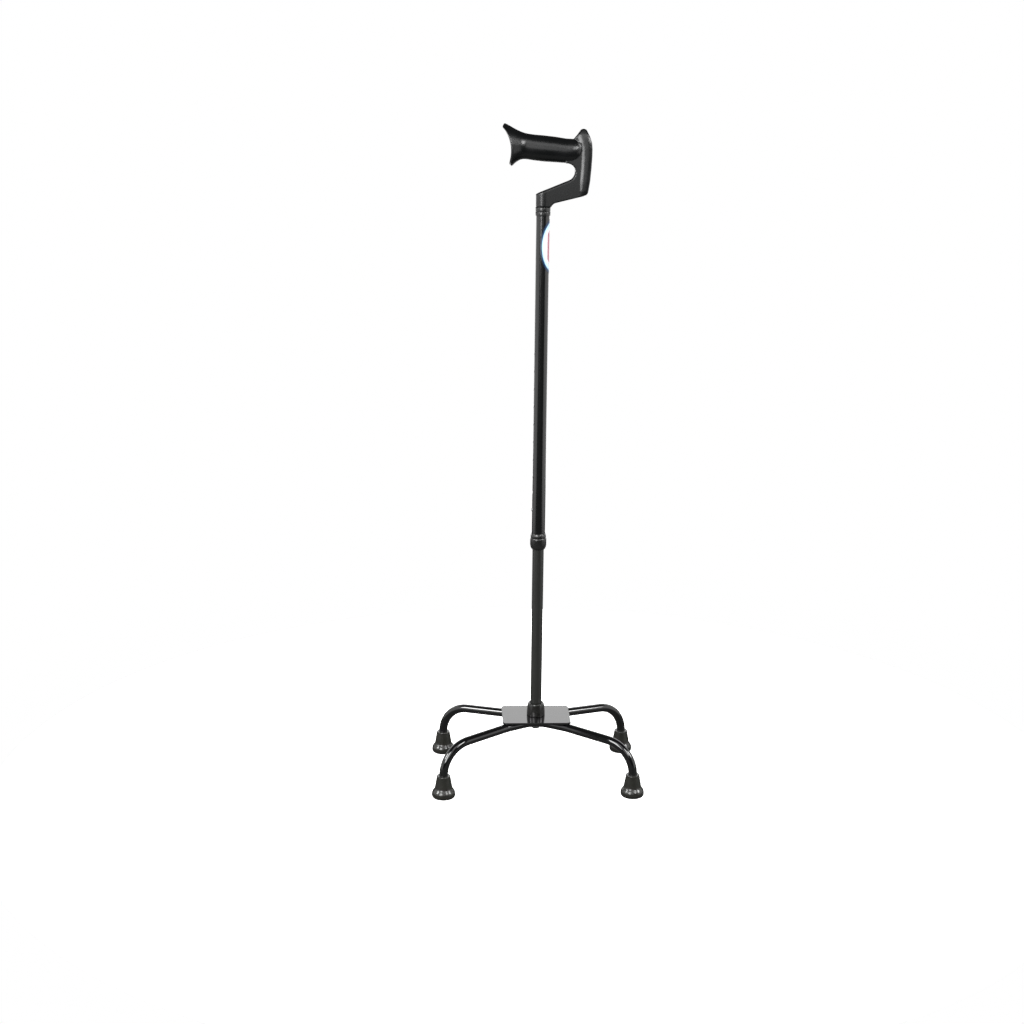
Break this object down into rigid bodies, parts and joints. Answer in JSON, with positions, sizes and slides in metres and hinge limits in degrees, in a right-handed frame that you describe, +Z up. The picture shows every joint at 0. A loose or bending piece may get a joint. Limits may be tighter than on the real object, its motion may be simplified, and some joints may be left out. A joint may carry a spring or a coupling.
{
  "type": "quad walking cane",
  "caption": "Height-adjustable walking cane with an offset moulded handle, screw-locked two-part shaft and a four-legged base with rubber tips.",
  "frame": {"origin": "on the floor, on the shaft axis, at the middle of the four feet", "axes": "+Z up along the shaft, +X towards the front of the handle, where its neck is; the feet stand at plus and minus X and Y"},
  "size_m": [0.308, 0.206, 0.9492],
  "materials": {
    "handle_plastic": "moulded, satin to gloss black",
    "satin_black_plastic": "moulded, satin black",
    "lock_plastic": "moulded nylon, dark grey-black",
    "black_tube": "black anodised aluminium tube, satin gloss",
    "dark_tube": "dark grey anodised aluminium tube, satin",
    "label": "printed vinyl sticker without lettering",
    "natural_nylon": "natural white nylon",
    "bright_steel": "turned and polished",
    "spring_steel": "rolled strip",
    "zinc_steel": "zinc plated",
    "black_steel": "blackened steel",
    "black_enamel": "stoved gloss black enamel on steel",
    "rubber": "moulded, dark grey"
  },
  "bodies": {
    "base": {"lower_tube": "dark_tube", "glide_bush": "natural_nylon", "button_spring": "spring_steel", "tube_insert": "zinc_steel", "insert_rivet": "zinc_steel", "base_collar": "rubber", "base_plate": "black_enamel", "base_bolt": "black_steel", "clamp_washer": "zinc_steel", "front_leg_tube": "black_enamel", "rear_leg_tube": "black_enamel", "leg_welds": "black_enamel", "foot_front_left": "rubber", "foot_washer_front_left": "zinc_steel", "foot_front_right": "rubber", "foot_washer_front_right": "zinc_steel", "foot_rear_left": "rubber", "foot_washer_rear_left": "zinc_steel", "foot_rear_right": "rubber", "foot_washer_rear_right": "zinc_steel"},
    "upper_shaft": {"handle": "handle_plastic", "handle_ring": "satin_black_plastic", "handle_screw": "zinc_steel", "upper_tube": "black_tube", "size_label": "label", "lock_sleeve": "lock_plastic"},
    "lock_nut": {"lock_nut": "lock_plastic"},
    "snap_button": {"snap_button": "bright_steel"}
  },
  "joints": [
    {"name": "height", "type": "slide", "parent": "base", "child": "upper_shaft", "axis": [0, 0, 1], "range_m": [-0.2286, 0], "deforming": ["snap_button", "button_spring"]},
    {"name": "lock_turn", "type": "hinge", "parent": "upper_shaft", "child": "lock_nut", "pos_m": [0, 0, 0.355], "axis": [0, 0, -1], "range_deg": [0, 270]},
    {"name": "button_press", "type": "slide", "parent": "base", "child": "snap_button", "axis": [1, 0, 0], "range_m": [0, 0.003], "stiffness_N_per_m": 1500, "deforming": ["button_spring"]}
  ]
}
